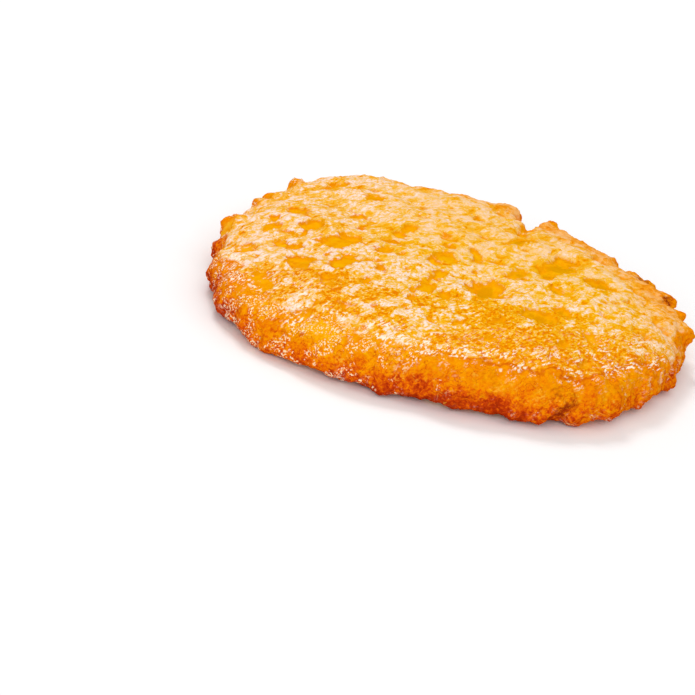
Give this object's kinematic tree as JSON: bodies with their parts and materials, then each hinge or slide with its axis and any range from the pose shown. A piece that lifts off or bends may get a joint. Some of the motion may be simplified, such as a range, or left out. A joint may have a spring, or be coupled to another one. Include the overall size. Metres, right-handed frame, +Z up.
{
  "type": "potato fritter",
  "caption": "Flat round fried patty of potato shreds with a crisp, uneven crust, lying on its underside.",
  "frame": {"origin": "under the middle of the patty, on the surface that it lies on", "axes": "+Z up through the patty's thickness; -Y is the side that faces the picture's camera; +X is that camera's right"},
  "size_m": [0.093, 0.0902, 0.0126],
  "materials": {
    "crust": null
  },
  "bodies": {
    "root": {"fritter": "crust"}
  },
  "joints": []
}
